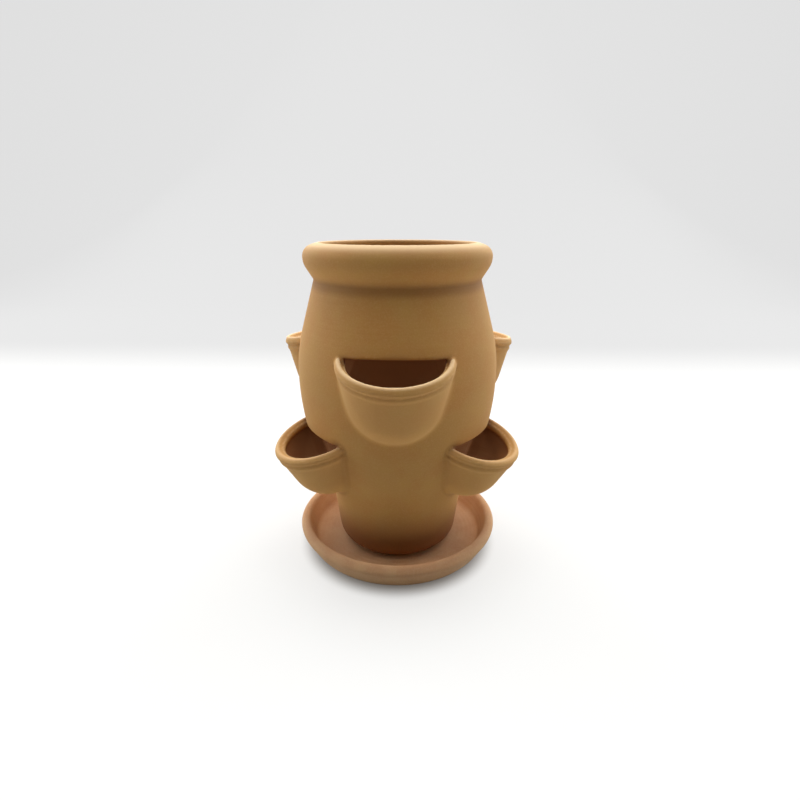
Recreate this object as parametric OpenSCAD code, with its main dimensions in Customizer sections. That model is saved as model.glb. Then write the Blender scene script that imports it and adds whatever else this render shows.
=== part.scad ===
// Strawberry jar planter: an unglazed clay jar with a rolled collar and two rings of side pockets,
// which stands loose in a saucer. The origin is under the middle of the saucer, and one upper
// pocket faces -Y.

/* [Jar] */
// Height from the foot to the widest line of the belly
belly_h = 110; // [100:1:135]
// Height from the widest line of the belly to the crease under the collar
shoulder_h = 53.4; // [45:0.1:65]
// Greatest outside radius, at the belly
belly_r = 60.3; // [56:0.1:73]
// Thickness of the wall and the floor
wall_t = 5; // [4:0.1:6]
// Radius of the flat that the jar stands on
foot_flat_r = 27.4; // [22:0.1:33]
// Radius of the round edge between the foot and the stem
foot_round_r = 9.5; // [7:0.1:11.5]
// How much wider the stem is than the foot's round edge
stem_flare = 1.1; // [0.5:0.1:3]
// Height of the stem's curve above the foot
stem_z = 10; // [8:0.1:14]
// Radius of the hollow curve from the stem out to the waist
stem_arc_r = 85; // [40:1:90]
// Diameter of the drain hole in the floor
drain_d = 12; // [8:0.5:16]

/* [Collar] */
// Height of the collar above the crease
collar_h = 21.6; // [18:0.1:26]
// Inside radius of the mouth
mouth_r = 46; // [40:0.1:50]
// Thickness from the mouth to the bottom of the crease
neck_t = 4.1; // [3.5:0.1:5]
// Thickness from the mouth to the collar's widest line
collar_t = 10.3; // [9:0.1:12]
// Radius of the collar's round top, from its widest line to its crest
collar_top_r = 8; // [6.5:0.1:8.5]
// Radius of the curve under the collar's widest line
collar_under_r = 10; // [8:0.1:12]

/* [Upper pockets] */
// Height of the upper rims' centres above the belly's widest line
upper_rise = 17.3; // [15:0.1:22]
// How far in from the belly's widest line the upper rims' centres lie
upper_sink = 12.8; // [10:0.1:16]
// Angle by which the upper pockets lean outwards
upper_lean = 15; // [11:0.1:19]
// Outside radius of an upper pocket's rolled lip
upper_lip_r = 34.5; // [31:0.1:36]
// Depth of an upper cup's round bottom below the lip's crest
upper_depth = 49.5; // [44:0.1:53]
// How much narrower an upper cup's round bottom is than its side
upper_taper = 3.6; // [2:0.1:7]

/* [Lower pockets] */
// Depth of the lower rims' centres below the belly's widest line
lower_drop = 33.2; // [30:0.1:37]
// How far in from the belly's widest line the lower rims' centres lie
lower_sink = 8.8; // [6:0.1:12]
// Angle by which the lower pockets lean outwards
lower_lean = 17.5; // [13:0.1:21]
// Outside radius of a lower pocket's rolled lip
lower_lip_r = 28.2; // [26:0.1:31]
// Depth of a lower cup's round bottom below the lip's crest
lower_depth = 39.5; // [36:0.1:44]
// How much narrower a lower cup's round bottom is than its side
lower_taper = 3.4; // [2:0.1:6]

/* [Pocket walls] */
// Thickness of the rolled lip
lip_t = 5.8; // [5.4:0.1:7]
// How far the lip overhangs the cup under it
lip_overhang = 1.1; // [0.8:0.1:1.5]
// Thickness of a cup's wall
cup_t = 4; // [3:0.1:4.5]
// Depth of the bead round a cup below the lip's crest
bead_depth = 8; // [7:0.1:10]
// How much smaller the window in the jar's wall is than the cup's space, all round
window_inset = 2.5; // [1:0.1:4]

/* [Saucer] */
// Greatest outside radius of the saucer
saucer_r = 61.5; // [55:0.1:72]
// Height of the saucer's rim
saucer_h = 17; // [14.5:0.1:20]
// Thickness of the saucer's floor
saucer_t = 5; // [4:0.1:5.5]
// How far the rim stands out beyond the flat under the saucer
saucer_flare = 14; // [12:0.1:17]
// Radius of the curve between the flat and the side
saucer_turn_r = 10; // [8:0.1:12]
// Thickness of the saucer's round rim
saucer_rim_t = 6; // [5:0.1:7]
// Width of the step from the rim's widest line in to the edge of the flat floor inside
dish_step = 12.2; // [11.5:0.1:14]
// Radius of the corner between the floor and the wall inside
dish_corner_r = 3; // [2:0.1:4]

/* [Hidden] */
$fn = 96;
// Pockets in each ring
pocket_count = 3;
// How far cuts run past what they cut
overrun = 1;
// How far the ends of straight stretches are tucked into the rounds that they touch
tuck = 0.002;
// Thickness of the layer of slip between a pocket and the wall
slip_gap = 0.15;
// How far the inner edge of a window's top hangs below its outer edge
window_drop = 2.5;
// Radius of the bead round a cup, and how far it stands proud
bead_r = 1.5;
bead_proud = 0.35;
// Width of the flat along a lip's crest, between its two round edges
lip_flat = 0.6;
// Steps in which the long curves of the jar's side are drawn
curve_steps = 5;
// Roundness of the shoulder, as a share of the radius at which one curve would reach the neck
shoulder_round_share = 0.69;

// Sizes that follow from those above
foot_z = saucer_t;
neck_z = belly_h + shoulder_h;
jar_h = neck_z + collar_h;
collar_z = jar_h - collar_top_r;
neck_r = mouth_r + neck_t;
collar_r = mouth_r + collar_t;
crest_r = collar_r - collar_top_r;
mouth_round_r = crest_r - mouth_r;
stem_r = foot_flat_r + foot_round_r + stem_flare;
lip_edge_r = (lip_t - lip_flat) / 2;

// Where the pockets of each ring go, as reach, height and lean, and the forms of their cups, as the
// lip's radius, the depth and the bottom's radius
upper_place = [belly_r - upper_sink, belly_h + upper_rise, upper_lean];
lower_place = [belly_r - lower_sink, belly_h - lower_drop, lower_lean];
upper_cup = [upper_lip_r, upper_depth, upper_lip_r - lip_overhang - upper_taper];
lower_cup = [lower_lip_r, lower_depth, lower_lip_r - lip_overhang - lower_taper];

// Radius of the shoulder's curve, which ends in a straight slope to the neck
shoulder_in = belly_r - neck_r;
shoulder_arc_r = shoulder_round_share * (shoulder_in ^ 2 + shoulder_h ^ 2) / (2 * shoulder_in);

// Radius of the waist's curve, which runs from the belly into the stem's hollow curve
waist_in = belly_r - stem_r;
waist_fall = belly_h - stem_z;
waist_arc_r = ((stem_arc_r - waist_in) ^ 2 + waist_fall ^ 2 - stem_arc_r ^ 2) / (2 * waist_in);

// Rings that the outlines follow, each a centre and a radius, negative where the outline is hollow
foot_ring = [[foot_flat_r, foot_round_r], foot_round_r];
stem_ring = [[stem_r + stem_arc_r, stem_z], -stem_arc_r];
waist_ring = [[belly_r - waist_arc_r, belly_h], waist_arc_r];
shoulder_ring = [[belly_r - shoulder_arc_r, belly_h], shoulder_arc_r];
neck_ring = [[neck_r, neck_z], 0];
under_ring = [[collar_r - collar_under_r, collar_z], collar_under_r];
crest_ring = [[crest_r, collar_z], collar_top_r];
turn_ring = [[saucer_r - saucer_flare, saucer_turn_r], saucer_turn_r];
rim_ring = [[saucer_r - saucer_rim_t / 2, saucer_h - saucer_rim_t / 2], saucer_rim_t / 2];
dish_ring = [[saucer_r - dish_step, saucer_t + dish_corner_r], dish_corner_r];
dish_rim_ring = [rim_ring[0], -rim_ring[1]];

// Point where the wall of the dish runs into the rim
dish_top = stretch_end(dish_rim_ring, touch_angle(dish_ring, dish_rim_ring), 0);

// Direction square to the straight line that touches a lower ring and an upper one
function touch_angle(lower, upper) =
    let (across = upper[0] - lower[0])
    atan2(across[1], across[0]) - acos((lower[1] - upper[1]) / norm(across));

// Direction in which two rings meet, where the outline passes from one into the other
function meet_angle(lower, upper) =
    let (across = lower[0] - upper[0])
    atan2(across[1], across[0]);

// Point of a ring in a direction, drawn in by an inset
function ring_point(ring, angle, inset) = ring[0] + (ring[1] - inset) * [cos(angle), sin(angle)];

// End of a straight stretch, tucked into the round that it touches
function stretch_end(ring, angle, inset) = ring_point(ring, angle, inset + tuck * sign(ring[1]));

// Straight stretch of an outline from one ring to the next, filled back to the axis
module straight_stretch(lower, upper) {
    angle = touch_angle(lower, upper);
    low = stretch_end(lower, angle, 0);
    high = stretch_end(upper, angle, 0);
    polygon([[0, low[1]], low, high, [0, high[1]]]);
}

// Round stretch of an outline between two heights, filled back to the axis
module round_stretch(ring, low_z, high_z, inset) {
    intersection() {
        translate(ring[0]) circle(r = ring[1] - inset);
        translate([0, low_z]) square([ring[0][0] + ring[1], high_z - low_z]);
    }
}

// Points along a ring from just past one direction up to another
function ring_points(ring, from, to, inset) =
    [for (i = [1:curve_steps]) ring_point(ring, from + (to - from) * i / curve_steps, inset)];

// Outline of the jar below its collar, drawn in by an inset
module jar_outline(inset) {
    foot_angle = touch_angle(foot_ring, stem_ring);
    waist_angle = meet_angle(stem_ring, waist_ring);
    shoulder_angle = touch_angle(shoulder_ring, neck_ring);
    side = concat([stretch_end(foot_ring, foot_angle, inset), ring_point(stem_ring, foot_angle, inset)],
                  ring_points(stem_ring, foot_angle, waist_angle, inset),
                  ring_points(waist_ring, waist_angle, 0, inset),
                  ring_points(shoulder_ring, 0, shoulder_angle, inset),
                  [ring_point(neck_ring, shoulder_angle, inset)]);
    polygon(concat([[0, inset], [foot_flat_r, inset]], side, [[0, neck_z]]));
    translate(foot_ring[0]) circle(r = foot_round_r - inset);
}

// Outline of the rolled collar, filled back to the axis
module collar_outline() {
    straight_stretch(neck_ring, under_ring);
    round_stretch(under_ring, neck_z, collar_z, 0);
    round_stretch(crest_ring, collar_z, jar_h, 0);
    translate([0, collar_z]) square([crest_r, collar_top_r]);
}

// Outline of the bore through the collar, which rounds over into the crest
module mouth_outline() {
    round_z = jar_h - mouth_round_r;
    translate([0, belly_h]) square([mouth_r, shoulder_h + collar_h + overrun]);
    difference() {
        translate([0, round_z]) square([crest_r, mouth_round_r + overrun]);
        translate([crest_r, round_z]) circle(r = mouth_round_r);
    }
}

// Everything inside the jar's outer face, grown by a gap
module jar_envelope(gap) {
    translate([0, 0, foot_z]) rotate_extrude() jar_outline(-gap);
}

// Puts a pocket in its place: it is drawn upright, with the crest of its lip at z = 0
module place_pocket(turn, place) {
    rotate([0, 0, turn]) translate([place[0], 0, foot_z + place[1]])
        rotate([0, place[2], 0]) children();
}

// Outside radius of a cup under its lip, drawn in by an inset
function cup_side(cup, inset) = cup[0] - lip_overhang - inset;

// Outline of a cup up to a height, drawn in by an inset and filled back to its axis: a round bottom,
// a tapered wall and, above the bead, a straight wall
module cup_outline(cup, inset, top_z) {
    side_r = cup_side(cup, inset);
    bottom_ring = [[0, cup[2] - cup[1]], cup[2]];
    bead_ring = [[cup_side(cup, 0), -bead_depth], 0];
    angle = touch_angle(bottom_ring, bead_ring);
    low = stretch_end(bottom_ring, angle, inset);
    side_z = low[1] - (side_r - low[0]) / tan(angle);
    round_stretch(bottom_ring, -cup[1], -bead_depth, inset);
    polygon([[0, low[1]], low, [side_r, side_z], [side_r, top_z], [0, top_z]]);
}

// Section of the rolled lip, with its crest at z = 0
module lip_section(lip_r) {
    inner = lip_r - lip_t + lip_edge_r;
    outer = lip_r - lip_edge_r;
    for (x = [inner, outer]) translate([x, -lip_edge_r]) circle(r = lip_edge_r);
    translate([inner, -2 * lip_edge_r]) square([outer - inner, 2 * lip_edge_r]);
}

// Section of a whole pocket, before the jar takes its back away
module pocket_section(cup) {
    difference() {
        union() {
            cup_outline(cup, 0, -lip_edge_r);
            translate([cup_side(cup, 0) + bead_proud - bead_r, -bead_depth]) circle(r = bead_r);
        }
        cup_outline(cup, cup_t, 0);
    }
    lip_section(cup[0]);
}

// A pressed pocket, cut to sit on the jar's round wall
module pocket(turn, place, cup) {
    color("#b98a58") difference() {
        place_pocket(turn, place) rotate_extrude() pocket_section(cup);
        jar_envelope(slip_gap);
    }
}

// Window in the wall behind a pocket: a smaller form of the space in its cup, up to a top edge that
// hangs inwards
module window(turn, place, cup) {
    slope = window_drop / wall_t;
    reach = belly_r + overrun;
    rim_z = place[1];
    intersection() {
        place_pocket(turn, place) rotate_extrude() cup_outline(cup, cup_t + window_inset, cup[0]);
        translate([0, 0, foot_z]) rotate_extrude()
            polygon([[0, 0], [reach, 0], [reach, rim_z + overrun * slope], [0, rim_z - belly_r * slope]]);
    }
}

// The thrown wall with its collar, six windows and a drain hole
module jar_wall() {
    color("#b3844f") difference() {
        translate([0, 0, foot_z]) rotate_extrude() difference() {
            union() {
                jar_outline(0);
                collar_outline();
            }
            jar_outline(wall_t);
            mouth_outline();
        }
        translate([0, 0, foot_z - overrun]) cylinder(d = drain_d, h = wall_t + 2 * overrun);
        for (i = [0:pocket_count - 1]) {
            window(upper_turn(i), upper_place, upper_cup);
            window(lower_turn(i), lower_place, lower_cup);
        }
    }
}

// Directions that the pockets face, counted anticlockwise from the front and from the rear
function upper_turn(i) = i * 360 / pocket_count - 90;
function lower_turn(i) = i * 360 / pocket_count + 90;

// Outline of the saucer under its rim, filled back to the axis
module saucer_outline() {
    rim_x = rim_ring[0][0];
    square([turn_ring[0][0], saucer_turn_r]);
    round_stretch(turn_ring, 0, saucer_turn_r, 0);
    straight_stretch(turn_ring, rim_ring);
    polygon([[0, saucer_turn_r], [rim_x, saucer_turn_r], rim_ring[0], dish_top, [0, dish_top[1]]]);
}

// Outline of the space in the saucer
module dish_outline() {
    translate([0, saucer_t]) square([dish_ring[0][0], saucer_h]);
    round_stretch(dish_ring, saucer_t, saucer_t + dish_corner_r, 0);
    straight_stretch(dish_ring, dish_rim_ring);
    translate([0, dish_top[1]]) square([dish_top[0], saucer_h]);
}

module saucer() {
    color("#b0795a") rotate_extrude() {
        difference() {
            saucer_outline();
            dish_outline();
        }
        translate(rim_ring[0]) circle(r = rim_ring[1]);
    }
}

saucer();
jar_wall();
pocket(upper_turn(0), upper_place, upper_cup);  // upper_pocket_front
pocket(upper_turn(1), upper_place, upper_cup);  // upper_pocket_right
pocket(upper_turn(2), upper_place, upper_cup);  // upper_pocket_left
pocket(lower_turn(0), lower_place, lower_cup);  // lower_pocket_rear
pocket(lower_turn(1), lower_place, lower_cup);  // lower_pocket_left
pocket(lower_turn(2), lower_place, lower_cup);  // lower_pocket_right
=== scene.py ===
# Strawberry jar planter in unglazed clay: a thrown jar with a rolled collar and six pressed pockets
# smoothed into its wall, standing loose in a turned saucer
import math

import bmesh
import bpy
import numpy as np
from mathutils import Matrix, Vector


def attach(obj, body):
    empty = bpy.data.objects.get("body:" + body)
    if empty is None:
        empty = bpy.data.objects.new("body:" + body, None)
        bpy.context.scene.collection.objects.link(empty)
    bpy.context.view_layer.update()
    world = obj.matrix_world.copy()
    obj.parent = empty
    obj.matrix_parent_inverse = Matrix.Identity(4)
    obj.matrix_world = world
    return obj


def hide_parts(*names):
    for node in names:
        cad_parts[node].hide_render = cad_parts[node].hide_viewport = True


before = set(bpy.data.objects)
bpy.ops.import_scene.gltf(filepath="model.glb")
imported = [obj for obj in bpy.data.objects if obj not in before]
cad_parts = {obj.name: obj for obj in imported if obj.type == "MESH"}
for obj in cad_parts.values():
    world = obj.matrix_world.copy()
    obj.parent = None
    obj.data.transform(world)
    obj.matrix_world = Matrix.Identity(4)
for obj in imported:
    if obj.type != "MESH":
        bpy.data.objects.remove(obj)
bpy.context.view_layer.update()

MM = 0.001

# Sizes of the jar in millimetres, under the names that its maker uses
belly_h, shoulder_h, belly_r, wall_t = 110.0, 53.4, 60.3, 5.0
foot_flat_r, foot_round_r = 27.4, 9.5
stem_flare, stem_z, stem_arc_r = 1.1, 10.0, 85.0
drain_d = 12.0
collar_h, mouth_r, neck_t, collar_t = 21.6, 46.0, 4.1, 10.3
collar_top_r, collar_under_r, collar_fall, mouth_round_r = 7.0, 13.0, 1.0, 1.2
shoulder_round_share = 0.69

# Sizes of the pockets: where the rims' centres lie, how far they lean, and the form of the cups
upper_rise, upper_sink, upper_lean, upper_sides_upright = 17.3, 10.4, 15.0, 4.5
lower_drop, lower_sink, lower_lean = 33.2, 8.8, 17.5
upper_lip_r, upper_depth, upper_taper, upper_lip_low = 32.0, 49.5, 2.4, 0.0
lower_lip_r, lower_depth, lower_taper, lower_lip_low = 28.4, 39.5, 3.4, 1.0
lip_t, lip_h, lip_overhang, cup_t = 5.8, 5.2, 1.4, 4.0
bead_depth, bead_r, bead_proud = 7.2, 1.3, 0.5
window_rise, window_drop, window_arch = 1.0, 0.6, 0.2
pocket_count = 3

# Sizes of the saucer
saucer_r, saucer_h, saucer_t = 61.5, 17.0, 5.0
saucer_flare, saucer_turn_r, saucer_rim_t = 14.0, 10.0, 6.0
dish_step, dish_corner_r = 12.2, 3.0

# Softness of the clay: how far edges are rubbed round, how far joints are smoothed together, and how far
# the pockets are tucked into the wall
rubbed_jar, rubbed_pocket = 0.7, 0.35
luted_side, luted_lip, luted_inside = 2.2, 0.8, 0.8
window_edge, bead_soft, lip_soft = 0.7, 1.2, 0.5
tucked = 0.6

# Lumps that the hand leaves: their depth, and for each way how far apart they lie and where they start
lump_depth, lump_run, lump_start = 0.1, (11.0, 13.0, 9.0), (1.3, 0.4, 2.0)

# Painted shade on the clay. Creases, painted darker as shade: the distances over which clay shuts a place in,
# with their weights. Inside, where the jar and the cups are painted darker as shade: the depth in the wall at
# which it starts, the depth over which it grows, and its reach over a window's top
crease_shade_reaches = (3.0, 0.45), (7.0, 0.55)
inside_shade_from, inside_shade_over, inside_shade_above = 0.3, 1.5, 1.0

# Pale wear and painted highlight on edges facing up and on the collar's top: the reach over which an edge is
# felt, the bend at which it starts to pale and the one that is palest, the height of the collar's pale top,
# and the share of it on the lowest lips
edge_reach, plain_bend, sharp_bend = 0.8, 0.1, 0.5
highlit_collar, highlit_low = 5.0, 0.4

# Rounds of a rolled lip: a narrow crest, a swell outside it, and a heel inside that overhangs the cup
lip_crest_r, lip_swell_r, lip_heel_r = 1.3, 1.7, 0.8
lip_crest_in, lip_heel_proud = 2.2, 0.2

# Sizes that follow from those above
foot_z = saucer_t
neck_z = belly_h + shoulder_h
jar_h = neck_z + collar_h
collar_z = jar_h - collar_fall - collar_top_r
neck_r = mouth_r + neck_t
collar_r = mouth_r + collar_t
crest_r = mouth_r + mouth_round_r
stem_r = foot_flat_r + foot_round_r + stem_flare
shoulder_in = belly_r - neck_r
shoulder_arc_r = shoulder_round_share * (shoulder_in ** 2 + shoulder_h ** 2) / (2 * shoulder_in)
waist_in = belly_r - stem_r
waist_fall = belly_h - stem_z
waist_arc_r = ((stem_arc_r - waist_in) ** 2 + waist_fall ** 2 - stem_arc_r ** 2) / (2 * waist_in)


def ring(across, up, radius):
    """A round that an outline follows, hollow where its radius is negative"""
    return np.array([across, up]), radius


foot_ring = ring(foot_flat_r, foot_round_r, foot_round_r)
stem_ring = ring(stem_r + stem_arc_r, stem_z, -stem_arc_r)
waist_ring = ring(belly_r - waist_arc_r, belly_h, waist_arc_r)
shoulder_ring = ring(belly_r - shoulder_arc_r, belly_h, shoulder_arc_r)
neck_ring = ring(neck_r, neck_z, 0.0)
under_ring = ring(collar_r - collar_under_r, collar_z, collar_under_r)
corner_ring = ring(collar_r - collar_top_r, collar_z, collar_top_r)
crest_ring = ring(crest_r, jar_h - mouth_round_r, mouth_round_r)
mouth_ring = ring(crest_r, jar_h - mouth_round_r, -mouth_round_r)
turn_ring = ring(saucer_r - saucer_flare, saucer_turn_r, saucer_turn_r)
rim_ring = ring(saucer_r - saucer_rim_t / 2, saucer_h - saucer_rim_t / 2, saucer_rim_t / 2)
dish_ring = ring(saucer_r - dish_step, saucer_t + dish_corner_r, dish_corner_r)
dish_rim_ring = ring(rim_ring[0][0], rim_ring[0][1], -rim_ring[1])


def touch(lower, upper):
    """Direction square to the straight line that touches a lower round and an upper one"""
    across = upper[0] - lower[0]
    return math.atan2(across[1], across[0]) - math.acos((lower[1] - upper[1]) / math.hypot(*across))


def meet(lower, upper):
    """Direction in which an outline passes from a hollow round into a full one"""
    across = lower[0] - upper[0]
    return math.atan2(across[1], across[0])


# How many points draw a round, and a band
round_steps, band_steps = 28, 73


def along(curve, start, end, inset=0.0, steps=round_steps):
    """Points along a round from one direction to another, drawn in by an inset"""
    turn = np.linspace(start, end, steps)
    return curve[0] + (curve[1] - inset) * np.stack([np.cos(turn), np.sin(turn)], axis=1)


# Outlines, each from the axis at the bottom to the axis at the top

def drawn_round(*rings):
    """Outline of a band drawn tight round several rounds"""
    turn = np.linspace(0.0, math.tau, band_steps)
    ways = np.stack([np.cos(turn), np.sin(turn)], axis=1)
    farthest = np.argmax([ways @ middle + radius for middle, radius in rings], axis=0)
    return np.array([rings[k][0] + rings[k][1] * way for k, way in zip(farthest, ways)])


def jar_side(inset):
    """Side of the jar below its collar"""
    foot_end = touch(foot_ring, stem_ring)
    waist_start = meet(stem_ring, waist_ring)
    shoulder_end = touch(shoulder_ring, neck_ring)
    return np.concatenate([
        [[0.0, inset]],
        along(foot_ring, -math.pi / 2, foot_end, inset),
        along(stem_ring, foot_end, waist_start, inset),
        along(waist_ring, waist_start, 0.0, inset),
        along(shoulder_ring, 0.0, shoulder_end, inset),
        along(neck_ring, shoulder_end, shoulder_end, inset, steps=1),
        [[0.0, neck_z]]])


def collar_side():
    """The rolled collar, whose top rises a little towards the mouth"""
    top = touch(corner_ring, crest_ring)
    return np.concatenate([
        [[0.0, neck_z], neck_ring[0]],
        along(under_ring, touch(neck_ring, under_ring), 0.0),
        along(corner_ring, 0.0, top),
        along(crest_ring, top, math.pi / 2),
        [[0.0, jar_h]]])


def mouth_side():
    """Bore through the collar, which rounds over into the crest"""
    above = jar_h + collar_top_r
    return np.concatenate([
        [[0.0, belly_h], [mouth_r, belly_h]],
        along(mouth_ring, 0.0, -math.pi / 2),
        [[crest_r, above], [0.0, above]]])


def cup_side(cup, inset, top):
    """A pocket's cup: a round bottom, a tapered wall and, above the bead, a straight wall"""
    lip_r, depth, taper = cup[:3]
    side_r = lip_r - lip_overhang
    bottom = ring(0.0, side_r - taper - depth, side_r - taper)
    bead = ring(side_r, -bead_depth, 0.0)
    angle = touch(bottom, bead)
    low = along(bottom, -math.pi / 2, angle, inset)
    bend = low[-1][1] - (side_r - inset - low[-1][0]) / math.tan(angle)
    return np.concatenate([low, [[side_r - inset, bend], [side_r - inset, top], [0.0, top]]])


# Distances from the clay, as maps over a section from the axis out

# The maps' step and the room left round the clay, and how many spreads wide a bell curve is on each side
map_step, map_room, pocket_room, bell_spreads = 0.4, 8.0, 24.0, 3


class SectionMap:
    """A distance known over a section, read between its points"""

    def __init__(self, width, low, high, step, rule):
        self.low, self.step = low, step
        across = np.arange(0.0, width, step)
        up = np.arange(low, high, step)
        self.values = rule(across[:, None] + 0 * up[None, :], up[None, :] + 0 * across[:, None])

    def soften(self, reach):
        """Rubs the edges round: a bell curve run over the map, with the axis as a mirror"""
        spread = reach / self.step
        half = int(bell_spreads * spread) + 1
        bell = np.exp(-0.5 * (np.arange(-half, half + 1) / spread) ** 2)
        bell /= bell.sum()
        held = np.pad(self.values, ((half, 0), (0, 0)), mode="reflect")
        held = np.pad(held, ((0, half), (half, half)), mode="reflect", reflect_type="odd")
        for axis in (0, 1):
            held = np.apply_along_axis(np.convolve, axis, held, bell, mode="valid")
        self.values = held
        return self

    def at(self, across, up):
        """Distance at points of the section; past the map's edge, the way back to it is added"""
        wide, tall = self.values.shape
        i = np.clip(across / self.step, 0.0, wide - 1.001)
        j = np.clip((up - self.low) / self.step, 0.0, tall - 1.001)
        beyond = np.hypot(across - i * self.step, up - self.low - j * self.step)
        left, under = i.astype(np.int32), j.astype(np.int32)
        i, j = i - left, j - under
        flat = self.values.ravel()
        corner = left * tall + under
        lower = flat[corner] * (1 - i) + flat[corner + tall] * i
        upper = flat[corner + 1] * (1 - i) + flat[corner + tall + 1] * i
        return lower * (1 - j) + upper * j + beyond


def side_distance(side, across, up):
    """Distance outside an outline that starts and ends at the axis, negative within it"""
    nearest = np.full(across.shape, np.inf)
    within = np.zeros(across.shape, bool)
    for (x0, z0), (x1, z1) in zip(side[:-1], side[1:]):
        dx, dz = x1 - x0, z1 - z0
        if dx == 0 and dz == 0:
            continue
        share = np.clip(((across - x0) * dx + (up - z0) * dz) / (dx * dx + dz * dz), 0, 1)
        nearest = np.minimum(nearest, (across - x0 - share * dx) ** 2 + (up - z0 - share * dz) ** 2)
        if dz != 0:
            within ^= ((z0 > up) != (z1 > up)) & (across < x0 + (up - z0) * dx / dz)
    return np.where(within, -1.0, 1.0) * np.sqrt(nearest)


def smooth_join(a, b, reach):
    """Nearer of two distances, with the corner between them filled as a wet finger fills it"""
    share = np.clip(0.5 + 0.5 * (b - a) / reach, 0.0, 1.0)
    return b + (a - b) * share - reach * share * (1 - share)


def smooth_cut(a, b, reach):
    """What is left of the first form when the second is cut away, with the edge rubbed round"""
    return -smooth_join(-a, b, reach)


def jar_outside(across, up):
    """Everything within the jar's outer face"""
    return np.minimum(side_distance(jar_side(0.0), across, up), side_distance(collar_side(), across, up))


def jar_section(across, up):
    """Wall, collar, mouth and drain hole"""
    space = np.minimum(side_distance(jar_side(wall_t), across, up), side_distance(mouth_side(), across, up))
    return np.maximum(np.maximum(jar_outside(across, up), -space), drain_d / 2 - across)


def pocket_section(cup):
    """Cup, bead and rolled lip of a pocket"""
    lip_r, lip_low = cup[0], cup[3]
    roll = drawn_round(ring(lip_r - lip_crest_in, -lip_low - lip_crest_r, lip_crest_r),
                       ring(lip_r - lip_swell_r, lip_swell_r - lip_h, lip_swell_r),
                       ring(lip_r - lip_t - lip_heel_proud + lip_heel_r, lip_heel_r - lip_h, lip_heel_r))

    def rule(across, up):
        body = side_distance(cup_side(cup, 0.0, -lip_h / 2), across, up)
        space = side_distance(cup_side(cup, cup_t, lip_r), across, up)
        bead_at = lip_r - lip_overhang + bead_proud - bead_r
        bead = np.hypot(across - bead_at, up + bead_depth) - bead_r
        lip = side_distance(roll, across, up)
        shell = smooth_join(np.maximum(body, -space), np.maximum(bead, -space), bead_soft)
        return smooth_join(shell, lip, lip_soft)

    return rule


def cup_space(cup):
    """The space in a cup, open upwards"""
    return lambda across, up: side_distance(cup_side(cup, cup_t, cup[0]), across, up)


jar_map, outside_map = [
    SectionMap(belly_r + map_room, -map_room, jar_h + map_room, map_step, rule).soften(rubbed_jar)
    for rule in (jar_section, jar_outside)]


class Pocket:
    """A pocket of one ring: its place on the jar and the maps that its ring shares"""

    def __init__(self, turn, place, maps):
        self.turn, self.maps = math.radians(turn), maps
        self.reach, self.rim_z, lean = place
        self.lean = math.radians(lean)

    def seen_from(self, x, y, z):
        """Distance from the pocket's own axis, and height over its rim"""
        ahead, aside = self.ahead(x, y) - self.reach, y * math.cos(self.turn) - x * math.sin(self.turn)
        rise = z - self.rim_z
        across = ahead * math.cos(self.lean) - rise * math.sin(self.lean)
        up = ahead * math.sin(self.lean) + rise * math.cos(self.lean)
        return np.hypot(across, aside), up

    def ahead(self, x, y):
        """Distance from the jar's axis in the direction that the pocket faces"""
        return x * math.cos(self.turn) + y * math.sin(self.turn)

    def over_window(self, x, y, z, out):
        """Height over the top edge of the window, which hangs inwards and arches towards its middle"""
        slope = window_drop / wall_t
        edge = self.rim_z + window_rise + (out - belly_r) * slope + (self.ahead(x, y) - belly_r) * window_arch
        return (z - edge) / math.hypot(1.0, slope)


def ring_of_pockets(first, place, cup, others_upright=0.0):
    """Pockets spaced evenly round the jar, of which those after the first may stand more upright"""
    wide, low = cup[0] + pocket_room, -cup[1] - map_room
    maps = [SectionMap(wide, low, pocket_room, map_step, rule).soften(rubbed_pocket)
            for rule in (pocket_section(cup), cup_space(cup))]
    reach, rim_z, lean = place
    return [Pocket(first + 360 * i / pocket_count, (reach, rim_z, lean - others_upright * (i > 0)), maps)
            for i in range(pocket_count)]


pockets = (ring_of_pockets(-90, (belly_r - upper_sink, belly_h + upper_rise, upper_lean),
                           (upper_lip_r, upper_depth, upper_taper, upper_lip_low), upper_sides_upright)
           + ring_of_pockets(90, (belly_r - lower_sink, belly_h - lower_drop, lower_lean),
                             (lower_lip_r, lower_depth, lower_taper, lower_lip_low)))


def clay_parts(x, y, z):
    """Distance outside the wall with its windows and outside each pocket, with the reach of its joint"""
    out = np.hypot(x, y)
    wall, outside = jar_map.at(out, z), outside_map.at(out, z)
    cups = []
    for pocket in pockets:
        across, up = pocket.seen_from(x, y, z)
        cup, space = pocket.maps[0].at(across, up), pocket.maps[1].at(across, up)
        over = pocket.over_window(x, y, z, out)
        wall = smooth_cut(wall, np.maximum(space, over), window_edge)
        lower = np.clip((-up - lip_h) / bead_depth, 0.0, 1.0)
        outer = np.clip(space / cup_t, 0.0, 1.0)
        reach = luted_inside + (luted_lip + (luted_side - luted_lip) * lower - luted_inside) * outer
        cups.append((np.maximum(cup, -outside - wall_t + tucked), reach))
    return wall, cups


def jar_clay(x, y, z):
    """Distance outside the clay of the whole jar"""
    clay, cups = clay_parts(x, y, z)
    for cup, reach in cups:
        clay = smooth_join(clay, cup, reach)
    lumps = math.prod(np.sin(place / run + start)
                      for place, run, start in zip((x, y, z), lump_run, lump_start))
    return clay + lump_depth * (1.0 + lumps) / 2


# The skin: a net of quads drawn over the clay and pulled on to its surface

# The net's step and its room round the clay, how many of its layers are worked out at once, and how
# carefully its corners are pulled on and evened out
net_step, skin_triangles = 1.05, 192_000
net_room_aside, net_room_above = 4.0, 3.0
slab = 16
slope_step, least_slope, longest_pull, relax_share = 0.3, 0.25, 1.0, 0.6


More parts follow.
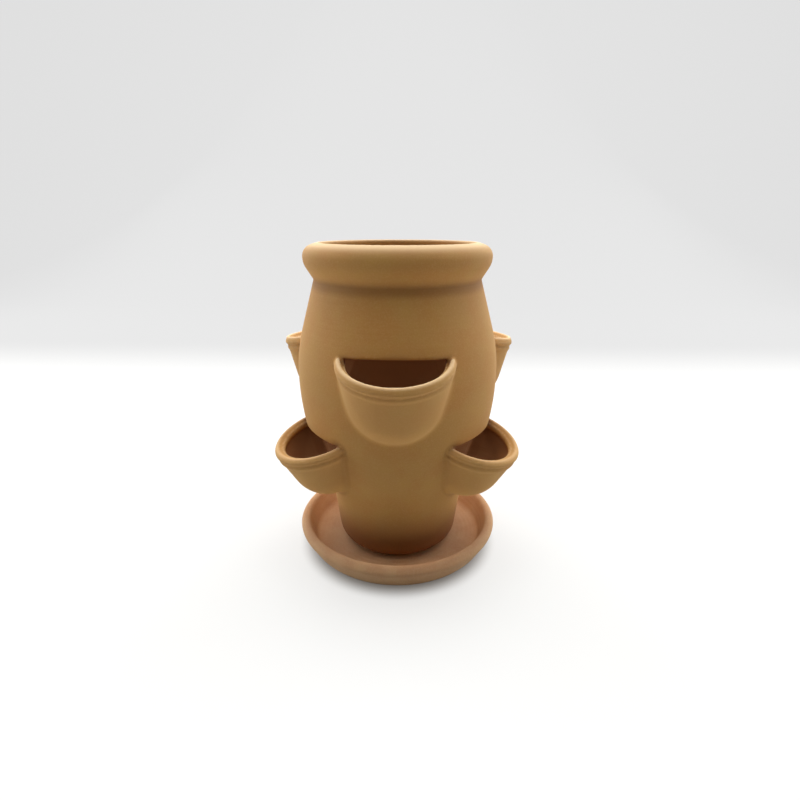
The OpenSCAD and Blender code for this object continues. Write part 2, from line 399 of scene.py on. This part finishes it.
def net_over(form, low, high, step):
    """Corners and quads of a net over a form, one corner to each cell that its surface crosses"""
    count = [int(math.ceil((h - l) / step)) + 1 for l, h in zip(low, high)]
    x, y, z = [l + step * np.arange(n) for l, n in zip(low, count)]
    depth = np.empty(count, np.float32)
    for i in range(0, count[0], slab):
        part = x[i:i + slab, None, None]
        grid = np.broadcast_arrays(part, y[None, :, None], z[None, None, :])
        depth[i:i + slab] = form(*[g.ravel() for g in grid]).reshape(grid[0].shape)
    cells = [n - 1 for n in count]
    crossings = np.zeros(cells, np.int32)
    total = np.zeros(cells + [3])
    edges = []
    for axis in range(3):
        near = np.take(depth, range(count[axis] - 1), axis)
        far = np.take(depth, range(1, count[axis]), axis)
        crossed = (near < 0) != (far < 0)
        place = np.meshgrid(*[np.arange(n, dtype=float) for n in near.shape], indexing="ij")
        place = np.stack(place, axis=-1)
        place[..., axis] += np.where(crossed, near / np.where(crossed, near - far, 1), 0)
        sides = [a for a in range(3) if a != axis]
        for first in (0, 1):
            for second in (0, 1):
                cut = [slice(None)] * 3
                cut[sides[0]] = slice(first, first + cells[sides[0]])
                cut[sides[1]] = slice(second, second + cells[sides[1]])
                cut = tuple(cut)
                crossings += crossed[cut]
                total += place[cut] * crossed[cut][..., None]
        edges.append((crossed, near < 0))
    used = crossings > 0
    number = np.full(cells, -1, np.int64)
    number[used] = np.arange(used.sum())
    corners = np.array(low) + step * total[used] / crossings[used][:, None]
    quads = []
    for axis, (crossed, inner) in enumerate(edges):
        b, c = (axis + 1) % 3, (axis + 2) % 3
        inside_net = [slice(None)] * 3
        inside_net[b], inside_net[c] = slice(1, cells[b]), slice(1, cells[c])
        found = np.argwhere(crossed[tuple(inside_net)])
        found[:, b] += 1
        found[:, c] += 1
        outward = inner[tuple(found.T)]
        loop = []
        for db, dc in ((1, 1), (0, 1), (0, 0), (1, 0)):
            cell = found.copy()
            cell[:, b] -= db
            cell[:, c] -= dc
            loop.append(number[tuple(cell.T)])
        loop = np.stack(loop, axis=1)
        loop[~outward] = loop[~outward][:, ::-1]
        quads.append(loop)
    return corners, np.concatenate(quads)


def slope_of(form, corners, step=slope_step):
    """Direction in which the distance grows, at each corner"""
    moved = []
    for axis in range(3):
        ahead, behind = corners.copy(), corners.copy()
        ahead[:, axis] += step
        behind[:, axis] -= step
        moved.append((form(*ahead.T) - form(*behind.T)) / (2 * step))
    return np.stack(moved, axis=1)


def pull_on(form, corners, rounds):
    """Moves corners on to the surface"""
    for _ in range(rounds):
        slope = slope_of(form, corners)
        steep = np.maximum((slope ** 2).sum(axis=1), least_slope)
        pull = np.clip(form(*corners.T) / steep, -longest_pull, longest_pull)
        corners = corners - slope * pull[:, None]
    return corners


def relax(form, corners, quads, rounds):
    """Evens out the net within the surface"""
    pairs = np.concatenate([quads[:, [k, (k + 1) % 4]] for k in range(4)])
    neighbours = np.bincount(pairs[:, 0], minlength=len(corners))[:, None]
    for _ in range(rounds):
        mean = np.stack([np.bincount(pairs[:, 0], weights=corners[pairs[:, 1], k], minlength=len(corners))
                         for k in range(3)], axis=1) / neighbours
        slope = slope_of(form, corners)
        slope /= np.linalg.norm(slope, axis=1)[:, None]
        drift = mean - corners
        drift -= slope * (drift * slope).sum(axis=1)[:, None]
        corners = pull_on(form, corners + relax_share * drift, rounds=1)
    return corners


def creases(form, corners, outward):
    """How far each corner is shut in by clay close round it, from 0 in the open to 1 in a crease: the amount
    of painted shade in creases
    """
    shut = 0.0
    for reach, weight in crease_shade_reaches:
        shut = shut + weight * np.clip(1 - form(*(corners + reach * outward).T) / reach, 0.0, 1.0)
    return shut


def inner_clay(corners):
    """Painted shade inside: 1 on the clay inside the jar and down in the cups, 0 on the clay outside"""
    x, y, z = corners.T
    depth = (-outside_map.at(np.hypot(x, y), z) - inside_shade_from) / inside_shade_over
    below_mouth = (neck_z + collar_h / 2 - z) / collar_h
    inner = np.minimum(np.clip(depth, 0.0, 1.0), np.clip(below_mouth, 0.0, 1.0))
    for pocket in pockets:
        across, up = pocket.seen_from(x, y, z)
        space = pocket.maps[1].at(across, up)
        under_lip = np.minimum(-up - lip_h, inside_shade_above - pocket.over_window(x, y, z, np.hypot(x, y)))
        inner = np.maximum(inner, np.clip(1 - 2 * space / cup_t, 0, 1) * np.clip(under_lip, 0, 1))
    return inner


def worn_edges(form, corners, outward):
    """How pale each corner is painted, as wear and as painted highlight: sharp edges and the collar's top,
    facing up
    """
    bend = -6.0 * form(*corners.T)
    for axis in range(3):
        for side in (-edge_reach, edge_reach):
            moved = corners.copy()
            moved[:, axis] += side
            bend = bend + form(*moved.T)
    edge = np.clip((bend / edge_reach ** 2 - plain_bend) / (sharp_bend - plain_bend), 0.0, 1.0)
    height = corners[:, 2]
    edge *= highlit_low + (1.0 - highlit_low) * np.clip((height - belly_h + lower_drop) / lower_drop, 0.0, 1.0)
    collar_top = np.clip((height - jar_h + highlit_collar) / highlit_collar, 0.0, 1.0)
    return np.maximum(edge, collar_top) * np.clip(outward[:, 2], 0.0, 1.0)


def pressed_clay(corners):
    """1 on the clay of the pockets, 0 on the clay of the wall: the pockets' paler tint, partly painted light
    on their faces
    """
    wall, cups = clay_parts(*corners.T)
    nearest = np.min([cup for cup, _ in cups], axis=0)
    return np.clip(0.5 + (wall - nearest) / luted_side, 0.0, 1.0)


def piece_of(name, corners, faces):
    """A mesh piece from corners in millimetres above the floor"""
    mesh = bpy.data.meshes.new(name)
    mesh.from_pydata((corners * MM).tolist(), [], faces.tolist())
    mesh.polygons.foreach_set("use_smooth", [True] * len(mesh.polygons))
    mesh.update()
    piece = bpy.data.objects.new(name, mesh)
    bpy.context.scene.collection.objects.link(piece)
    return piece


def draw_in_crowded_edges(mesh, rounds=6):
    """Draws each edge that more or fewer than two faces share into one corner"""
    net = bmesh.new()
    net.from_mesh(mesh)
    for _ in range(rounds):
        crowded = [edge for edge in net.edges if len(edge.link_faces) != 2]
        if not crowded:
            break
        bmesh.ops.collapse(net, edges=crowded)
    net.to_mesh(mesh)
    net.free()
    mesh.polygons.foreach_set("use_smooth", [True] * len(mesh.polygons))


widest = belly_r - upper_sink + upper_lip_r + net_room_aside
corners, quads = net_over(jar_clay, (-widest, -widest, -net_room_above),
                          (widest, widest, jar_h + net_room_above), net_step)
corners = pull_on(jar_clay, corners, rounds=2)
corners = relax(jar_clay, corners, quads, rounds=3)
jar = piece_of("thrown_jar_with_pockets", corners, quads)

# The net is thinned where the clay is plain, so that the lips and creases keep their corners, and then marked
# for the finish: painted shade in creases and inside, pale wear with painted highlight, and the pockets' tint
thin = jar.modifiers.new("thin", "DECIMATE")
thin.ratio, thin.use_collapse_triangulate = skin_triangles / (2 * len(quads)), True
skin = bpy.data.meshes.new_from_object(jar.evaluated_get(bpy.context.evaluated_depsgraph_get()))
jar.modifiers.remove(thin)
draw_in_crowded_edges(skin)
corners = np.empty(3 * len(skin.vertices), np.float32)
skin.vertices.foreach_get("co", corners)
corners = pull_on(jar_clay, corners.reshape(-1, 3).astype(float) / MM, rounds=1)
outward = slope_of(jar_clay, corners)
outward /= np.linalg.norm(outward, axis=1)[:, None]
marks = {"painted_crease_shade": creases(jar_clay, corners, outward), "inner": inner_clay(corners),
         "worn_and_highlit": worn_edges(jar_clay, corners, outward), "pressed": pressed_clay(corners)}
marks["worn_and_highlit"] *= 1.0 - marks["inner"]
corners[:, 2] += foot_z
skin.vertices.foreach_set("co", (corners * MM).astype(np.float32).ravel())
for mark, amount in marks.items():
    skin.attributes.new(mark, "FLOAT", "POINT").data.foreach_set("value", amount.astype(np.float32))
skin.name, jar.data = jar.name, skin


# Colours and nodes

def linear(code):
    """Linear colour of an sRGB hex value"""
    parts = [int(code[i:i + 2], 16) / 255 for i in (0, 2, 4)]
    return tuple(c / 12.92 if c <= 0.04045 else ((c + 0.055) / 1.055) ** 2.4 for c in parts) + (1.0,)


def node(tree, kind, inputs=None, **settings):
    """Adds a node with its settings; an input is a value or another node's socket"""
    made = tree.nodes.new(kind)
    for key, value in settings.items():
        setattr(made, key, value)
    for key, value in (inputs or {}).items():
        if isinstance(value, bpy.types.NodeSocket):
            tree.links.new(value, made.inputs[key])
        else:
            made.inputs[key].default_value = value
    return made


# The saucer, turned by a node tree: an outline of six corners, rounded and swept round the axis

# Points on each rounded corner, and the gap under which two points of the seam are one
corner_points, seam_gap = 14, 0.01


def turning_tree():
    """Turns an outline of six corners round the axis, with the faint rings that a wet rib leaves"""
    tree = bpy.data.node_groups.new("turned on the wheel", "GeometryNodeTree")
    tree.is_modifier = True
    for name, kind in (("Flat corner", "Vector"), ("Rim outside", "Vector"), ("Rim inside", "Vector"),
                       ("Dish corner", "Vector"), ("Dish middle", "Vector"), ("Turn radius", "Float"),
                       ("Rim radius", "Float"), ("Dish corner radius", "Float"), ("Ring spacing", "Float"),
                       ("Ring depth", "Float"), ("Points across", "Int"), ("Points round", "Int"),
                       ("Clay", "Material")):
        tree.interface.new_socket(name=name, in_out="INPUT", socket_type="NodeSocket" + kind)
    tree.interface.new_socket(name="Geometry", in_out="OUTPUT", socket_type="NodeSocketGeometry")
    given = node(tree, "NodeGroupInput").outputs

    # The six corners, from the middle of the underside out and over the rim to the middle of the dish
    place = node(tree, "GeometryNodeIndexSwitch", data_type="VECTOR")
    rounding = node(tree, "GeometryNodeIndexSwitch", data_type="FLOAT")
    index = node(tree, "GeometryNodeInputIndex").outputs[0]
    for switch, names in ((place, ("Flat corner", "Rim outside", "Rim inside", "Dish corner", "Dish middle")),
                          (rounding, ("Turn radius", "Rim radius", "Rim radius", "Dish corner radius"))):
        tree.links.new(index, switch.inputs["Index"])
        for corner, name in enumerate(names, 1):
            if str(corner) not in switch.inputs:
                switch.index_switch_items.new()
            tree.links.new(given[name], switch.inputs[str(corner)])
    row = node(tree, "GeometryNodeMeshLine", {"Count": 6})
    row = node(tree, "GeometryNodeSetPosition", {"Geometry": row.outputs[0], "Position": place.outputs[0]})
    outline = node(tree, "GeometryNodeMeshToCurve", {0: row.outputs[0]})
    outline = node(tree, "GeometryNodeFilletCurve",
                   {"Curve": outline.outputs[0], "Count": corner_points, "Radius": rounding.outputs[0]},
                   mode="POLY")

    # A sheet whose one way runs along the outline and whose other way runs round the axis
    sheet = node(tree, "GeometryNodeMeshGrid", {"Size X": 1.0, "Size Y": 1.0,
                                                "Vertices X": given["Points across"],
                                                "Vertices Y": given["Points round"]})
    spot = node(tree, "GeometryNodeInputPosition").outputs[0]
    spot = node(tree, "ShaderNodeVectorMath", {0: spot, 1: (0.5, 0.5, 0.0)}, operation="ADD")
    spot = node(tree, "ShaderNodeSeparateXYZ", {0: spot.outputs[0]})
    sample = node(tree, "GeometryNodeSampleCurve",
                  {"Curves": outline.outputs[0], "Factor": spot.outputs[0]},
                  mode="FACTOR", use_all_curves=True)

    # Each ring is a shallow furrow, cut into the clay and never standing proud of it
    length = node(tree, "GeometryNodeCurveLength", {0: outline.outputs[0]})
    furrow = spot
    for value, operation in ((length.outputs[0], "MULTIPLY"), (given["Ring spacing"], "DIVIDE"),
                             (math.tau, "MULTIPLY")):
        furrow = node(tree, "ShaderNodeMath", {0: furrow.outputs[0], 1: value}, operation=operation)
    furrow = node(tree, "ShaderNodeMath", {0: furrow.outputs[0]}, operation="COSINE")
    furrow = node(tree, "ShaderNodeMath", {0: 1.0, 1: furrow.outputs[0]}, operation="SUBTRACT")
    furrow = node(tree, "ShaderNodeMath", {0: furrow.outputs[0], 1: given["Ring depth"]},
                  operation="MULTIPLY")
    inward = node(tree, "ShaderNodeVectorMath", {0: sample.outputs["Tangent"], 1: (0.0, 1.0, 0.0)},
                  operation="CROSS_PRODUCT")
    cut = node(tree, "ShaderNodeVectorMath", {0: inward.outputs[0], "Scale": furrow.outputs[0]},
               operation="SCALE")
    cut = node(tree, "ShaderNodeVectorMath", {0: sample.outputs["Position"], 1: cut.outputs[0]},
               operation="ADD")
    turn = node(tree, "ShaderNodeMath", {0: spot.outputs[1], 1: math.tau}, operation="MULTIPLY")
    turned = node(tree, "ShaderNodeVectorRotate", {"Vector": cut.outputs[0], "Angle": turn.outputs[0]},
                  rotation_type="Z_AXIS")

    # The sheet bent round, its seam and its two poles closed
    form = node(tree, "GeometryNodeSetPosition",
                {"Geometry": sheet.outputs[0], "Position": turned.outputs[0]})
    form = node(tree, "GeometryNodeMergeByDistance",
                {"Geometry": form.outputs[0], "Distance": seam_gap * MM})
    form = node(tree, "GeometryNodeFlipFaces", {0: form.outputs[0]})
    form = node(tree, "GeometryNodeSetShadeSmooth", {"Geometry": form.outputs[0], "Shade Smooth": True})
    form = node(tree, "GeometryNodeRealizeInstances", {0: form.outputs[0]})
    form = node(tree, "GeometryNodeSetMaterial", {"Geometry": form.outputs[0], "Material": given["Clay"]})
    node(tree, "NodeGroupOutput", {0: form.outputs[0]})
    return tree


def grown_piece(name, tree, sizes):
    """A plain mesh piece from a node tree and its sizes"""
    piece = piece_of(name, np.zeros((0, 3)), np.zeros((0, 3), int))
    modifier = piece.modifiers.new("shape", "NODES")
    modifier.node_group = tree
    for item in tree.interface.items_tree:
        if item.name in sizes:
            modifier[item.identifier] = sizes[item.name]
    piece.data = bpy.data.meshes.new_from_object(
        piece.evaluated_get(bpy.context.evaluated_depsgraph_get()))
    piece.modifiers.remove(modifier)
    piece.data.name = name
    return piece


# Fired clay

# Sand grains are 0.2 to 0.5 mm across, drawn here at 0.9 mm so that they show
grain_mm = 0.9

# How far grains and rings stand out of the clay, how small dry patches are beside the clouds of colour, and
# how much a ring wanders on its way round
grain_rise, ring_rise = 0.12, 0.35
patch_share, ring_wander = 0.4, 6.0

# Pockets are tinted paler than the thrown wall, partly as painted light on their faces; edges facing up are
# paler still, as wear and painted highlight; creases and the clay inside are painted brown as shade. For each
# mark: the amounts from and to which it grows, its share and its tone
jar_marks = (("pressed", 0.0, 1.0, 0.3, "pale"), ("painted_crease_shade", 0.1, 0.9, 0.8, "painted_shade"),
             ("inner", 0.0, 1.0, 0.85, "painted_shade"), ("worn_and_highlit", 0.0, 1.0, 0.95, "bare"))

# Painted shade in bands of height: the jar's foot, darkened as the saucer's shadow, and the neck, darkened as
# the shade under the collar; on the saucer, its underside's turn. For each band: its height, how far off it
# starts to fade and is gone, and its share
jar_shade_bands = ((0.0, 8.0, 42.0, 0.8), (foot_z + neck_z - 1.5, 0.5, 5.5, 0.36))
saucer_shade_bands = ((0.0, 0.5, 5.0, 0.8),)


def fired_clay(name, tones, bloom_mm, ring_mm, shade_bands, marks=()):
    """Unglazed terracotta, thrown, sponged smooth and fired bare: it has no shine, its colour drifts in soft
    clouds between brick, tan and ochre, fine sand shows in it as a dry grain, and the wet sponge leaves faint
    level rings. Bands of height and the marks add painted shade, painted highlight and tints"""
    material = bpy.data.materials.new(name)
    material.use_nodes = True
    tree = material.node_tree
    tree.nodes.clear()
    spot = node(tree, "ShaderNodeTexCoord").outputs["Object"]
    clouds = node(tree, "ShaderNodeTexNoise",
                  {"Vector": spot, "Scale": 1 / (bloom_mm * MM), "Detail": 3.0, "Roughness": 0.55})
    patches = node(tree, "ShaderNodeTexNoise",
                   {"Vector": spot, "Scale": 1 / (patch_share * bloom_mm * MM), "Detail": 4.0,
                    "Roughness": 0.6})
    grain = node(tree, "ShaderNodeTexNoise",
                 {"Vector": spot, "Scale": 1 / (grain_mm * MM), "Detail": 2.0, "Roughness": 0.7})
    level = node(tree, "ShaderNodeMapping",
                 {"Vector": spot, "Scale": (ring_wander, ring_wander, 1 / (ring_mm * MM))})
    rings = node(tree, "ShaderNodeTexNoise",
                 {"Vector": level.outputs[0], "Scale": 1.0, "Detail": 2.0, "Roughness": 0.5})
    warmth = node(tree, "ShaderNodeMapRange",
                  {"Value": clouds.outputs[0], "From Min": 0.38, "From Max": 0.62},
                  interpolation_type="SMOOTHSTEP")
    dry = node(tree, "ShaderNodeMapRange",
               {"Value": patches.outputs[0], "From Min": 0.45, "From Max": 0.75, "To Max": 0.6})
    sand = node(tree, "ShaderNodeMapRange",
                {"Value": grain.outputs[0], "From Min": 0.45, "From Max": 0.8, "To Max": 0.35})
    layers = [(warmth, "warm"), (dry, "ochre"), (sand, "pale")]
    for mark, least, most, share, tone in marks:
        amount = node(tree, "ShaderNodeAttribute", attribute_name=mark).outputs["Fac"]
        amount = node(tree, "ShaderNodeMapRange",
                      {"Value": amount, "From Min": least, "From Max": most, "To Max": share})
        layers.append((amount, tone))
    height = node(tree, "ShaderNodeSeparateXYZ", {0: spot}).outputs[2]
    # Each band paints shade: the colour is darker near the band's height
    for middle, near, far, share in shade_bands:
        off = node(tree, "ShaderNodeMath", {0: height, 1: middle * MM}, operation="SUBTRACT")
        off = node(tree, "ShaderNodeMath", {0: off.outputs[0]}, operation="ABSOLUTE")
        band_shade = node(tree, "ShaderNodeMapRange",
                     {"Value": off.outputs[0], "From Min": near * MM, "From Max": far * MM, "To Min": share,
                      "To Max": 0.0}, interpolation_type="SMOOTHSTEP")
        layers.append((band_shade, "painted_shade"))
    colour = linear(tones["body"])
    for amount, tone in layers:
        colour = node(tree, "ShaderNodeMix", {0: amount.outputs[0], 6: colour, 7: linear(tones[tone])},
                      data_type="RGBA").outputs[2]
    relief = node(tree, "ShaderNodeBump",
                  {"Height": rings.outputs[0], "Strength": 0.25, "Distance": ring_rise * MM})
    relief = node(tree, "ShaderNodeBump",
                  {"Height": grain.outputs[0], "Strength": 0.25, "Distance": grain_rise * MM,
                   "Normal": relief.outputs[0]})
    surface = node(tree, "ShaderNodeBsdfPrincipled",
                   {"Base Color": colour, "Roughness": 0.82, "Diffuse Roughness": 0.8, "IOR": 1.5,
                    "Normal": relief.outputs[0]})
    node(tree, "ShaderNodeOutputMaterial", {"Surface": surface.outputs[0]})
    return material


# The darkest tone is painted shade, and the palest is pale wear with a painted highlight
jar_finish = fired_clay("unglazed_terracotta_thrown",
                        {"body": "ca9850", "warm": "ca934b", "ochre": "cb9c4d", "pale": "dcaf6b",
                         "painted_shade": "7a421a", "bare": "fadeae"},
                        bloom_mm=26.0, ring_mm=2.4, shade_bands=jar_shade_bands, marks=jar_marks)
# The saucer's darkest tone is painted shade at its underside's turn
saucer_finish = fired_clay("unglazed_terracotta_turned",
                           {"body": "d1a67a", "warm": "cc9d70", "ochre": "d4ae7c", "pale": "e0c298",
                            "painted_shade": "7a5038"}, bloom_mm=22.0, ring_mm=2.0, shade_bands=saucer_shade_bands)

jar.data.materials.append(jar_finish)
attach(jar, "jar")
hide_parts("jar_wall", "upper_pocket_front", "upper_pocket_right", "upper_pocket_left",
            "lower_pocket_rear", "lower_pocket_right", "lower_pocket_left")


def corner_at(lower, upper, height):
    """Where the straight line that touches two rounds comes to a height"""
    angle = touch(lower, upper)
    across, up = along(lower, angle, angle, steps=1)[0]
    return Vector((across - (height - up) * math.tan(angle), 0.0, height)) * MM


# The rib's rings, and how many points draw the saucer from middle to middle and round the axis
ring_gap, ring_depth = 3.0, 0.04
points_across, points_round = 200, 201
saucer = grown_piece("turned_saucer", turning_tree(), {
    "Flat corner": corner_at(turn_ring, rim_ring, 0.0),
    "Rim outside": corner_at(turn_ring, rim_ring, saucer_h),
    "Rim inside": corner_at(dish_ring, dish_rim_ring, saucer_h),
    "Dish corner": corner_at(dish_ring, dish_rim_ring, saucer_t),
    "Dish middle": Vector((0.0, 0.0, saucer_t)) * MM,
    "Turn radius": saucer_turn_r * MM, "Rim radius": saucer_rim_t / 2 * MM,
    "Dish corner radius": dish_corner_r * MM, "Ring spacing": ring_gap * MM, "Ring depth": ring_depth * MM,
    "Points across": points_across, "Points round": points_round, "Clay": saucer_finish})
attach(saucer, "saucer")
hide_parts("saucer")


# Studio: a pale floor that turns up into a backdrop, and soft light

# How far from the axis the painted contact shadow round the saucer reaches, and how far back the paper turns
# up
contact_from, contact_to, wall_from, wall_to = 50.0, 64.0, 240.0, 560.0


def paper(name, floor_tones, wall_tones, painted_contact_shadow, thrown):
    """Seamless backdrop paper, matt and pale: to the eye it is lit and glows, in one tone each for floor and
    wall, with a painted contact shadow where it glows less close under the saucer; on the clay it throws a
    plain grey light"""
    material = bpy.data.materials.new(name)
    material.use_nodes = True
    tree = material.node_tree
    tree.nodes.clear()
    path = node(tree, "ShaderNodeLightPath").outputs
    seen = node(tree, "ShaderNodeMath", {0: path["Is Camera Ray"], 1: path["Is Glossy Ray"]},
                operation="ADD")
    seen = node(tree, "ShaderNodeMath", {0: seen.outputs[0], 1: path["Is Transmission Ray"]},
                operation="ADD", use_clamp=True)
    spot = node(tree, "ShaderNodeTexCoord").outputs["Object"]
    away = node(tree, "ShaderNodeVectorMath", {0: spot}, operation="LENGTH")
    away = node(tree, "ShaderNodeMapRange",
                {"Value": away.outputs["Value"], "From Min": contact_from * MM, "From Max": contact_to * MM},
                interpolation_type="SMOOTHSTEP")
    behind = node(tree, "ShaderNodeSeparateXYZ", {0: spot}).outputs[1]
    behind = node(tree, "ShaderNodeMapRange",
                  {"Value": behind, "From Min": wall_from * MM, "From Max": wall_to * MM},
                  interpolation_type="SMOOTHSTEP")
    tones = []
    for on_floor, on_wall in zip(floor_tones, wall_tones):
        tones.append(node(tree, "ShaderNodeMix",
                          {0: behind.outputs[0], 6: linear(on_floor), 7: linear(on_wall)},
                          data_type="RGBA").outputs[2])
    lit = node(tree, "ShaderNodeMix", {0: seen.outputs[0], 6: linear(thrown), 7: tones[0]},
               data_type="RGBA")
    # The glow is less close to the saucer: a painted contact shadow
    glow = node(tree, "ShaderNodeMix", {0: away.outputs[0], 6: linear(painted_contact_shadow), 7: tones[1]},
                data_type="RGBA")
    matt = node(tree, "ShaderNodeBsdfDiffuse", {"Color": lit.outputs[2]})
    shine = node(tree, "ShaderNodeEmission", {"Color": glow.outputs[2], "Strength": seen.outputs[0]})
    both = node(tree, "ShaderNodeAddShader", {0: matt.outputs[0], 1: shine.outputs[0]})
    node(tree, "ShaderNodeOutputMaterial", {"Surface": both.outputs[0]})
    return material


def backdrop():
    """Floor, bend and wall of one sheet of paper"""
    wide, front, bend_at, bend_r, tall = 3000.0, -2500.0, 900.0, 500.0, 2200.0
    line = [(front, 0.0), (bend_at, 0.0)]
    line += [(bend_at + bend_r * math.sin(a), bend_r - bend_r * math.cos(a))
             for a in np.linspace(0.0, math.pi / 2, 24)[1:]]
    line.append((bend_at + bend_r, tall))
    corners = np.array([(x, y, z) for y, z in line for x in (-wide, wide)])
    faces = np.array([(2 * i, 2 * i + 1, 2 * i + 3, 2 * i + 2) for i in range(len(line) - 1)])
    return piece_of("paper_backdrop", corners, faces)


floor = backdrop()
floor.data.materials.append(paper("seamless_paper", floor_tones=("818180", "d6d6d5"),
                                  wall_tones=("383838", "dedede"), painted_contact_shadow="66605a", thrown="b4b4b2"))


heart = (0.0, 0.0, 0.1)


def soft_box(name, place, size, power):
    """A square soft box of white light that faces the jar's heart"""
    lamp = bpy.data.lights.new(name, "AREA")
    lamp.shape, lamp.size, lamp.energy = "SQUARE", size, power
    holder = bpy.data.objects.new(name, lamp)
    holder.location = place
    holder.rotation_euler = (Vector(heart) - Vector(place)).to_track_quat("-Z", "Y").to_euler()
    bpy.context.scene.collection.objects.link(holder)


soft_box("overhead_box", (0.0, 0.18, 1.4), size=1.4, power=27.5)
soft_box("left_box", (-1.2, 0.0, 0.25), size=1.0, power=7.6)
soft_box("right_box", (1.2, 0.0, 0.25), size=1.0, power=6.2)
soft_box("back_left_box", (-0.9, 0.7, 0.8), size=1.1, power=14.4)
soft_box("back_right_box", (0.9, 0.7, 0.8), size=1.1, power=14.4)

# The air round the studio is pale to the camera and gives the clay almost no light
air_glow, air_light = 0.8, 0.01
world = bpy.data.worlds.new("studio_air")
bpy.context.scene.world = world
world.use_nodes = True
world.node_tree.nodes.clear()
path = node(world.node_tree, "ShaderNodeLightPath").outputs
seen = node(world.node_tree, "ShaderNodeMath", {0: path["Is Camera Ray"], 1: path["Is Transmission Ray"]},
            operation="ADD", use_clamp=True)
seen = node(world.node_tree, "ShaderNodeMapRange",
            {"Value": seen.outputs[0], "To Min": air_light, "To Max": air_glow})
air = node(world.node_tree, "ShaderNodeBackground",
           {"Color": linear("f2f3f5"), "Strength": seen.outputs[0]})
node(world.node_tree, "ShaderNodeOutputWorld", {"Surface": air.outputs[0]})

# The photograph's camera: close, a little above the collar, looking down at the belly
eye = bpy.data.cameras.new("camera")
eye.sensor_width, eye.lens = 36.0, 23.46
eye.shift_x, eye.shift_y = 0.003125, -0.10625
eye.clip_start = 0.01
camera = bpy.data.objects.new("camera", eye)
away, height, pitch, aside = 0.3134, 0.2008, math.radians(10.0), math.radians(1.4)
camera.location = (away * math.sin(aside), -away * math.cos(aside), height)
camera.rotation_euler = (math.pi / 2 - pitch, 0.0, aside)
bpy.context.scene.collection.objects.link(camera)
bpy.context.scene.camera = camera
bpy.context.scene.view_settings.view_transform = "Standard"
